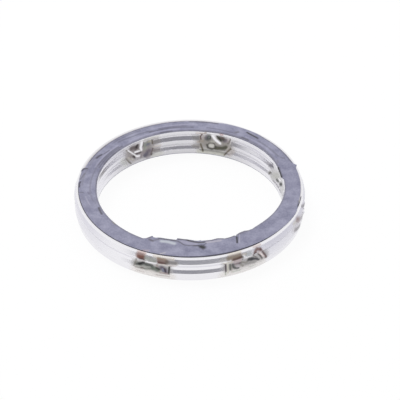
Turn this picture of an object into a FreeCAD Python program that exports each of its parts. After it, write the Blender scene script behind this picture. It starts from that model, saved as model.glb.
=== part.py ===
# Exhaust gasket, spiral wound: one strip of stainless steel with two ridges
# pressed into it is wound edge-up into a flat ring, with a ribbon of graphite
# wound in between its middle laps. The laps without graphite, at the bore and
# at the outside, are spot welded together. The graphite stands a little proud
# of the strip's edges and is pressed over them into a grey face, above and below.
# Millimetres. +Z is up, and the origin is the bore's centre on the bottom face.

import FreeCAD, Part
import Sketcher
import os

doc = FreeCAD.newDocument("ExhaustGasket")
sheet = doc.addObject("Spreadsheet::Sheet", "sizes")

# Driving dimensions
DIMENSIONS = [
    ("bore_radius", 17.5),          # inner face of the innermost lap
    ("ring_width", 4.0),            # from the bore's lands to the outermost ridges
    ("strip_thickness", 0.15),      # the steel strip's gauge
    ("strip_width", 5.1),           # the steel strip's height when it is wound edge-up
    ("edge_land", 0.5),             # plain height left along each edge of the strip
    ("ridge_depth", 0.31),          # how far each of the two ridges stands out
    ("filler_laps", 1),             # turns of graphite, which share the room between the bare laps
    ("inner_laps", 3),              # laps of bare strip at the bore
    ("outer_laps", 2),              # laps of bare strip at the outside
    ("taper_angle", 25),            # stretch, in degrees, where the laps close on the ribbon's end
    ("face_thickness", 0.1),        # graphite pressed over the strip's edges
    ("face_groove", 0.18),          # gap between that face and the outer laps
    ("foil_overhang", 2.0),         # how far torn graphite hangs over the bore, at most
    ("foil_seat", 1.0),             # how far the same flake reaches out over the laps
    ("strip_end", -7),              # angle of the strip's outer end, in degrees
    ("strip_start", 4),             # angle of the strip's inner end, in degrees
    ("weld_width", 7.0),            # length of a weld's flat outside, along the ring
    ("weld_sink", 0.03),            # how far that flat lies below the strip's lands
    ("end_margin", 0.8),            # from the strip's outer end to the weld that holds it, in degrees
    ("tip_radius", 9.0),            # rounding of the welder's tip that works in the bore
    ("tip_press", 0.27),            # how deep that tip presses the bore's valley back
]
for row, (name, value) in enumerate(DIMENSIONS, start=1):
    sheet.set(f"A{row}", name)
    sheet.set(f"B{row}", str(value))
    sheet.setAlias(f"B{row}", name)
doc.recompute()

# The torn edge of the graphite over the bore, at the front: each point is an
# angle and a share of the largest overhang.
TORN_EDGE = [
    (-119, 0.0), (-115.3, 0.6), (-113.7, 0.38), (-110.9, 0.73), (-104.6, 0.78), (-98.6, 0.52),
    (-98.2, 1.0), (-93, 0.96), (-87, 0.73), (-83.6, 0.44), (-75, 0.5), (-71.6, 0.61),
    (-67, 0.45), (-61.6, 0.4), (-61, 0.12), (-60.4, 0.12), (-59.8, 0.44), (-50, 0.5),
    (-40, 0.4), (-30, 0.27), (-20, 0.15), (-8, 0.0),
]

# Sizes that follow from the driving ones, as expressions on the sheet. The strip
# is wound as half turns: the rear halves share one centre, the front halves
# another, half a lap further along X, so that each half runs smoothly into the next.
STRIP = "sizes.strip_thickness"
CORE = "(sizes.bore_radius + sizes.inner_laps * sizes.strip_thickness)"
OUTSIDE = "(sizes.bore_radius + sizes.ring_width - sizes.ridge_depth)"
FILLED = f"({OUTSIDE} - sizes.outer_laps * {STRIP})"
LAP = f"(({FILLED} + {STRIP} - {CORE}) / sizes.filler_laps)"
BARE_SHIFT = f"({STRIP} / 2)"
LAP_SHIFT = f"({LAP} / 2)"
STRIP_FOOT = "sizes.face_thickness"
STRIP_TOP = "(sizes.face_thickness + sizes.strip_width)"
FACE_TOP = "(2 * sizes.face_thickness + sizes.strip_width)"
LAND_TOP = "(sizes.face_thickness + sizes.edge_land)"
RIDGES = "(sizes.strip_width - 2 * sizes.edge_land)"

# Where each weld's middle lies round the ring, in degrees from +X. The outer weld
# on the right holds the strip's end down, so it lies just short of that end.
INNER_WELDS = {"right": 15.5, "rear_right": 74.0, "rear_left": 123.0}
OUTER_WELDS = {
    "right": f"(sizes.strip_end - sizes.end_margin - sizes.weld_width / 2 / {OUTSIDE} * 180 / pi)",
    "front_right": -60.5,
    "front_left": -110.0,
}


def new_body(name):
    """A body that turns with the strip's outer end."""
    body = doc.addObject("PartDesign::Body", name)
    body.Placement.Rotation = FreeCAD.Rotation(FreeCAD.Vector(0, 0, 1), 1)
    body.setExpression("Placement.Rotation.Angle", "sizes.strip_end")
    return body


def new_sketch(body, name, plane):
    """A sketch on one of the body's own origin planes."""
    sketch = body.newObject("Sketcher::SketchObject", name)
    planes = {feature.Role: feature for feature in body.Origin.OriginFeatures}
    sketch.AttachmentSupport = (planes[plane], "")
    sketch.MapMode = "FlatFace"
    return sketch


def place_corner(sketch, line, across, up):
    """Hold the start of a line at a place that the sheet gives."""
    for kind, place in (("DistanceX", across), ("DistanceY", up)):
        now = float(sketch.evalExpression(place))
        number = sketch.addConstraint(Sketcher.Constraint(kind, -1, 1, line, 1, now))
        sketch.setExpression(f"Constraints[{number}]", place)


def add_loop(sketch, corners):
    """A closed outline of straight lines through corners given as expressions."""
    points = [FreeCAD.Vector(float(sketch.evalExpression(x)), float(sketch.evalExpression(y)), 0)
              for x, y in corners]
    first = sketch.GeometryCount
    count = len(corners)
    for number, point in enumerate(points):
        sketch.addGeometry(Part.LineSegment(point, points[(number + 1) % count]), False)
    for number in range(count):
        following = first + (number + 1) % count
        sketch.addConstraint(Sketcher.Constraint("Coincident", first + number, 2, following, 1))
    for number, (across, up) in enumerate(corners):
        place_corner(sketch, first + number, across, up)


def ridged_side(radius):
    """A side of the strip that shows, from foot to top: ridge, valley and ridge between two plain lands."""
    side = [(radius, STRIP_FOOT)]
    for step in range(5):
        stands_out = f"{radius} + sizes.ridge_depth" if step % 2 else radius
        side.append((stands_out, f"{LAND_TOP} + {step} * {RIDGES} / 4"))
    side.append((radius, STRIP_TOP))
    return side


def hidden_side(radius):
    """A side hidden in the winding: the same ridges, with their flanks run out to the strip's edges."""
    side = []
    for step in range(5):
        stands_out = f"{radius} + sizes.ridge_depth" if step % 2 else radius
        side.append((stands_out, f"{STRIP_FOOT} + {step} * sizes.strip_width / 4"))
    return side


def plain_side(radius, foot=STRIP_FOOT, top=STRIP_TOP):
    return [(radius, foot), (radius, top)]


def turn(body, name, loops, kind="PartDesign::Revolution", shift="0", start="0", sweep="180", front=False):
    """Turn outlines about an upright axis that stands off the origin along X.

    The rear half runs from +X over +Y, and the front half from +X over -Y."""
    sketch = new_sketch(body, name + "_section", "XZ_Plane")
    sketch.AttachmentOffset = FreeCAD.Placement(
        FreeCAD.Vector(), FreeCAD.Rotation(FreeCAD.Vector(0, 1, 0), 1))
    sketch.setExpression("AttachmentOffset.Base.x", shift)
    sketch.setExpression("AttachmentOffset.Rotation.Angle", f"-({start})" if front else start)
    for inner, outer in loops:
        add_loop(sketch, inner + outer[::-1])
    feature = body.newObject(kind, name)
    feature.Profile = sketch
    feature.ReferenceAxis = (sketch, ["V_Axis"])
    feature.setExpression("Angle", sweep)
    feature.Reversed = front
    return feature


def check(feature, what):
    if "Invalid" in feature.State or "Error" in feature.State:
        raise RuntimeError(f"{what} failed: {feature.State}")


filler_laps = int(round(sheet.filler_laps))

# The whole winding as one ring: its bore, its outside and the strip's two ends
winding = new_body("winding")
turn(winding, "rear_laps", [(ridged_side("sizes.bore_radius"), ridged_side(OUTSIDE))])
turn(winding, "front_laps",
     [(ridged_side(f"sizes.bore_radius + {BARE_SHIFT}"), ridged_side(f"{OUTSIDE} + {BARE_SHIFT}"))],
     shift=BARE_SHIFT, front=True)
turn(winding, "inner_end",
     [(plain_side("sizes.bore_radius - sizes.ridge_depth"), ridged_side(f"sizes.bore_radius + {STRIP}"))],
     kind="PartDesign::Groove", sweep="sizes.strip_start - sizes.strip_end")

# The graphite ribbon's full laps between the laps of strip
ribbon = new_body("ribbon")
rear_gaps = []
front_gaps = []
for lap in range(filler_laps):
    rear = f"{CORE} + {lap} * {LAP}"
    rear_gaps.append((hidden_side(rear), hidden_side(f"{rear} + {LAP} - {STRIP}")))
    front = f"{rear} + {LAP_SHIFT}"
    front_gaps.append((hidden_side(front), hidden_side(f"{front} + {LAP} - {STRIP}")))
front_gaps.pop()
turn(ribbon, "rear_ribbon", rear_gaps)
if front_gaps:
    turn(ribbon, "front_ribbon", front_gaps, shift=LAP_SHIFT, front=True)


def ribbon_end(name, outer_radius, outer_shift, inner_radius, inner_shift, start):
    """The ribbon's last half turn, where the lap outside it closes on the lap inside it."""
    body = new_body(name)
    well_inside = f"{inner_radius} - sizes.strip_width"
    turn(body, name + "_outside", [(plain_side(well_inside), hidden_side(outer_radius))],
         shift=outer_shift, start=start, sweep="180 - sizes.taper_angle", front=True)
    turn(body, name + "_inside", [(plain_side(f"{well_inside} - {LAP}"), hidden_side(inner_radius))],
         kind="PartDesign::Groove", shift=inner_shift, front=True)
    return body


ribbon_start = ribbon_end(
    "ribbon_start", f"{CORE} - {STRIP} + {LAP_SHIFT}", LAP_SHIFT,
    f"{CORE} - {BARE_SHIFT}", BARE_SHIFT, "0")
ribbon_finish = ribbon_end(
    "ribbon_finish", f"{FILLED} + {BARE_SHIFT}", BARE_SHIFT,
    f"{FILLED} + {STRIP} - {LAP_SHIFT}", LAP_SHIFT, "sizes.taper_angle")

# The graphite pressed over the strip's edges, above and below, short of the outer laps
faces = new_body("pressed_faces")
for name, shift, front in (("rear_face", "0", False), ("front_face", BARE_SHIFT, True)):
    bore = f"sizes.bore_radius + {shift}"
    rim = f"{FILLED} - sizes.face_groove + {shift}"
    below = (plain_side(bore, "0", STRIP_FOOT), plain_side(rim, "0", STRIP_FOOT))
    above = (plain_side(bore, STRIP_TOP, FACE_TOP), plain_side(rim, STRIP_TOP, FACE_TOP))
    turn(faces, name, [below, above], shift=shift, front=front)

# The torn flake of graphite that hangs over the bore at the front
flake = doc.addObject("PartDesign::Body", "torn_flake")
flake_outline = new_sketch(flake, "torn_outline", "XY_Plane")
flake_outline.setExpression("AttachmentOffset.Base.z", STRIP_TOP)
reach_out = "(sizes.bore_radius + sizes.foil_seat)"
radii = [f"(sizes.bore_radius - {share} * sizes.foil_overhang)" for angle, share in TORN_EDGE]
angles = [angle for angle, share in TORN_EDGE]
add_loop(flake_outline,
         [(f"{radius} * cos({angle})", f"{radius} * sin({angle})") for radius, angle in zip(radii, angles)]
         + [(f"{reach_out} * cos({angle})", f"{reach_out} * sin({angle})") for angle in angles[::-3]])
flake_pad = flake.newObject("PartDesign::Pad", "flake_pad")
flake_pad.Profile = flake_outline
flake_pad.setExpression("Length", "sizes.face_thickness")


# The spot welds fuse the bare laps. The tips press the strip flat between its lands
inner_tips = []
for place, angle in INNER_WELDS.items():
    tip = doc.addObject("Part::Cylinder", "inner_tip_" + place)
    tip.setExpression("Radius", "sizes.tip_radius")
    tip.setExpression("Height", RIDGES)
    axis = "(sizes.bore_radius + sizes.tip_press - sizes.tip_radius)"
    tip.setExpression("Placement.Base.x", f"{axis} * cos({angle})")
    tip.setExpression("Placement.Base.y", f"{axis} * sin({angle})")
    tip.setExpression("Placement.Base.z", LAND_TOP)
    inner_tips.append(tip)


def flat_block(name, angle, radius, depth):
    """A block whose inner face lies square to the radius at an angle, centred on it."""
    block = doc.addObject("Part::Box", name)
    block.Placement.Rotation = FreeCAD.Rotation(FreeCAD.Vector(0, 0, 1), 1)
    block.setExpression("Length", depth)
    block.setExpression("Width", "sizes.weld_width")
    block.setExpression("Height", RIDGES)
    block.setExpression("Placement.Rotation.Angle", f"{angle}")
    block.setExpression("Placement.Base.x", f"{radius} * cos({angle}) + sizes.weld_width / 2 * sin({angle})")
    block.setExpression("Placement.Base.y", f"{radius} * sin({angle}) - sizes.weld_width / 2 * cos({angle})")
    block.setExpression("Placement.Base.z", LAND_TOP)
    return block


# Outside, the flattened laps take the place of the graphite behind the ridges.
# These welds all lie on the front half turn, whose radius and centre are shifted.
outer_flats = []
nuggets = []
for place, angle in OUTER_WELDS.items():
    shifted = f"{BARE_SHIFT} * (1 + cos({angle} - sizes.strip_end)) - sizes.weld_sink"
    outer_flats.append(flat_block("outer_flat_" + place, angle, f"({OUTSIDE} + {shifted})", "2 * sizes.ridge_depth"))
    nuggets.append(flat_block("nugget_" + place, angle, f"({FILLED} + {shifted})", "2 * sizes.ridge_depth"))

# Graphite filler: the ribbon's laps, its two ends, the pressed faces and the flake
graphite = doc.addObject("Part::MultiFuse", "graphite")
graphite.Shapes = [ribbon, ribbon_start, ribbon_finish, faces, flake]
all_nuggets = doc.addObject("Part::MultiFuse", "all_nuggets")
all_nuggets.Shapes = nuggets
graphite_filler = doc.addObject("Part::Cut", "graphite_filler")
graphite_filler.Base = graphite
graphite_filler.Tool = all_nuggets

# Steel strip: the winding less the graphite, flattened at the welds
bare_winding = doc.addObject("Part::Cut", "bare_winding")
bare_winding.Base = winding
bare_winding.Tool = graphite_filler
weld_tools = doc.addObject("Part::MultiFuse", "weld_tools")
weld_tools.Shapes = inner_tips + outer_flats
steel_strip = doc.addObject("Part::Cut", "steel_strip")
steel_strip.Base = bare_winding
steel_strip.Tool = weld_tools

doc.recompute()

for item in doc.Objects:
    check(item, item.Name)

os.makedirs("parts", exist_ok=True)
for sub_part in (steel_strip, graphite_filler):
    sub_part.Label = sub_part.Name
    shape = sub_part.Shape
    if shape.isNull() or not shape.isValid() or len(shape.Solids) != 1:
        raise RuntimeError(f"{sub_part.Label}: {len(shape.Solids)} solids, valid {shape.isValid()}")
    shape.exportStep(f"parts/{sub_part.Label}.step")
    print(sub_part.Label, f"{shape.Volume:.2f} mm3", shape.BoundBox)
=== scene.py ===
import functools
import math

import bmesh
import bpy
from mathutils import Matrix, Vector, noise


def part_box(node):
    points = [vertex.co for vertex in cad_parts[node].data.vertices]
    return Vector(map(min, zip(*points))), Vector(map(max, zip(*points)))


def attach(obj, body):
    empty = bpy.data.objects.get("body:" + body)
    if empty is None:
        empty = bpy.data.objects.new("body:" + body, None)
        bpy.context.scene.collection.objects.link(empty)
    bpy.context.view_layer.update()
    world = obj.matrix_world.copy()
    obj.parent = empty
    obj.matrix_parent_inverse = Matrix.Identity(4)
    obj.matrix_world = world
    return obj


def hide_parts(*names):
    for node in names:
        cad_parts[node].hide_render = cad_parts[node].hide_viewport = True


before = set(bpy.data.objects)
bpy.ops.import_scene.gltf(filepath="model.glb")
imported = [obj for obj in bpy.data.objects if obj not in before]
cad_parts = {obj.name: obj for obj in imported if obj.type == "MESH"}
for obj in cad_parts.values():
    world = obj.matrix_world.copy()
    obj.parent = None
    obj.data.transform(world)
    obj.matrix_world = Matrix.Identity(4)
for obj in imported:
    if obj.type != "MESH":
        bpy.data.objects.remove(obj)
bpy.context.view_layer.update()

# The steel strip
# One narrow strip of bright rolled stainless steel with two ridges pressed along
# it, wound edge-up into a ring. Its bare laps at the bore and at the rim are
# pressed together between a spot welder's tips, two spots to each weld.

MM = 0.001
foot, top = (corner.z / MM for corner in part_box("steel_strip"))
GAUGE = 0.15                        # the strip's thickness, mm
BORE = 17.5                         # inner side of the innermost lap
RIM = 21.14                         # outer side of the outermost lap, at its plain edges
UPPER_RIDGE = (3.05, 3.87, 4.99)    # heights of the ridge's foot, crest and other foot
LOWER_RIDGE = (0.95, 1.69, 2.62)
UPPER_DEPTH = 0.42                  # how far the ridge stands out
LOWER_DEPTH = 0.36
BEND = 0.05                         # half the height over which a bend is rounded
ROW = 0.125                         # height of a row of faces on a side that shows
BORE_LAPS = 3                       # laps with no graphite between them
RIM_LAPS = 2
STRIP_END = -7.0                    # where the strip ends outside, degrees from +X
STRIP_START = 4.0                   # where it starts in the bore
SEAM_GAP = 0.1                      # degrees left open between a lap's ends
ROUND_STEPS = 320                   # faces round the ring
ROUND_SECTORS = 16                  # equal parts it is spun in
WELD_CUTS = 4                       # further cuts to each face along a weld
WELD_ZONE = 16                      # degrees to each side of a weld's middle that get them
MERGE = 0.001                       # corners closer than this are one, mm


def sharp_ridge(height):
    """How far the strip would stand out at a height with sharp bends, mm."""
    ridges = ((LOWER_RIDGE, LOWER_DEPTH), (UPPER_RIDGE, UPPER_DEPTH))
    for (low, crest, high), depth in ridges:
        if low < height < high:
            return depth * min((height - low) / (crest - low), (high - height) / (high - crest))
    return 0.0


def ridge_at(height):
    """How far the strip stands out at a height, with its bends rounded, mm."""
    samples = [height + BEND * step / 5 for step in range(-5, 6)]
    return sum(sharp_ridge(sample) for sample in samples) / len(samples)


def rows_up(shown):
    """The heights of a lap's rows: many, and on both sides of each bend, where it shows."""
    bends = [*LOWER_RIDGE, *UPPER_RIDGE]
    if not shown:
        return [foot, *bends, top]
    stops = [foot, *(bend + side for bend in bends for side in (-BEND, BEND)), top]
    rows = []
    for low, high in zip(stops, stops[1:]):
        count = max(1, round((high - low) / ROW))
        rows += [low + (high - low) * row / count for row in range(count)]
    return rows + [top]


def closed_outline(mesh, corners):
    """Draws a closed outline through (radius, height) corners, ready to be spun."""
    verts = [mesh.verts.new((radius, 0, height)) for radius, height in corners]
    for near, far in zip(verts, verts[1:] + verts[:1]):
        mesh.edges.new((near, far))


def spin_sectors(mesh, angle, sectors, steps):
    """Spins an outline through an angle: one short sector, then turned copies of it."""
    sector = angle / sectors
    bmesh.ops.spin(mesh, geom=mesh.verts[:] + mesh.edges[:], cent=(0, 0, 0), axis=(0, 0, 1),
                   angle=sector, steps=steps)
    bmesh.ops.spin(mesh, geom=mesh.verts[:] + mesh.edges[:] + mesh.faces[:], cent=(0, 0, 0),
                   axis=(0, 0, 1), angle=angle - sector, steps=sectors - 1, use_duplicate=True)
    bmesh.ops.remove_doubles(mesh, verts=mesh.verts, dist=MERGE)


def angle_of(place):
    """Where a place lies round the ring, degrees from +X."""
    return math.degrees(math.atan2(place.y, place.x))


def turn_between(angle, middle):
    """Signed turn from one angle to another, degrees."""
    return (angle - middle + 180) % 360 - 180


def growth(turned):
    """How much further out a lap lies after turning so many degrees from its start, mm."""
    if turned < 180:
        return 0.0
    return GAUGE / 2 * (1 + math.cos(math.radians(turned)))


def wind_lap(target, inner, outer, shows, seam, welds):
    """Winds a lap from a seam all the way round, a gauge further out where it ends.

    It may stand for several touching laps. Only a side that shows gets close rows.
    """
    lap = bmesh.new()
    inside = [(inner + ridge_at(z), z) for z in rows_up(shows == "inner")]
    outside = [(outer + ridge_at(z), z) for z in rows_up(shows == "outer")]
    closed_outline(lap, inside + outside[::-1])
    spin_sectors(lap, math.radians(360 - SEAM_GAP), ROUND_SECTORS, ROUND_STEPS // ROUND_SECTORS)
    if shows != "neither":
        near_welds = []
        for edge in lap.edges:
            near, far = (vert.co for vert in edge.verts)
            turn = abs(turn_between(angle_of(near), angle_of(far)))
            runs_round = abs(near.z - far.z) < MERGE and turn > 180 / ROUND_STEPS
            middle = angle_of((near + far) / 2) + seam
            gaps = [abs(turn_between(middle, weld["middle"])) for weld in welds]
            if runs_round and min(gaps) < WELD_ZONE:
                near_welds.append(edge)
        bmesh.ops.subdivide_edges(lap, edges=near_welds, cuts=WELD_CUTS)
    for vert in lap.verts:
        vert.co.xy *= 1 + growth(angle_of(vert.co) % 360) / vert.co.xy.length
    ends = [edge for edge in lap.edges if edge.is_boundary]
    bmesh.ops.holes_fill(lap, edges=ends, sides=0)
    bmesh.ops.rotate(lap, verts=lap.verts, cent=(0, 0, 0),
                     matrix=Matrix.Rotation(math.radians(seam), 3, "Z"))
    bmesh.ops.recalc_face_normals(lap, faces=lap.faces)
    piece = bpy.data.meshes.new("lap")
    lap.to_mesh(piece)
    lap.free()
    target.from_mesh(piece)
    bpy.data.meshes.remove(piece)


def bump(x, y, half_x, half_y):
    """A soft round hump that is 1 in its middle."""
    return math.exp(-((x / half_x) ** 2 + (y / half_y) ** 2))


def ramp(value, low, high):
    """0 below low, 1 above high, and smooth between."""
    share = min(max((value - low) / (high - low), 0), 1)
    return share * share * (3 - 2 * share)


@functools.cache
def colour(code):
    """Linear colour of an sRGB hex value."""
    shares = [int(code[at:at + 2], 16) / 255 for at in (1, 3, 5)]
    linear = [share / 12.92 if share <= 0.04045 else ((share + 0.055) / 1.055) ** 2.4
              for share in shares]
    return (*linear, 1.0)


def line_gap(x, y, start, end):
    """Distance from a place to the straight line between two points."""
    run, rise = end[0] - start[0], end[1] - start[1]
    share = ((x - start[0]) * run + (y - start[1]) * rise) / (run * run + rise * rise)
    share = min(max(share, 0.0), 1.0)
    return math.hypot(x - start[0] - share * run, y - start[1] - share * rise)


SOFT_FROM, SOFT_TO = 0.25, 1.75     # a stroke fades between these shares of its half width


def lay_strokes(vert, layer, x, y, strokes):
    """Paints strokes (colour, cover, half width, line) over a vertex, soft at their sides.

    The layer's fourth value is how much of the vertex is covered. A stroke of no
    colour scrapes it bare.
    """
    for code, cover, half, line in strokes:
        first, last = min(point[0] for point in line), max(point[0] for point in line)
        if first - SOFT_TO * half < x < last + SOFT_TO * half:
            nearest = min(line_gap(x, y, start, end) for start, end in zip(line, line[1:]))
            laid = cover * (1 - ramp(nearest, SOFT_FROM * half, SOFT_TO * half))
            paint = Vector(colour(code)) if code else Vector((0, 0, 0, 0))
            vert[layer] = Vector(vert[layer]) * (1 - laid) + paint * laid


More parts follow.
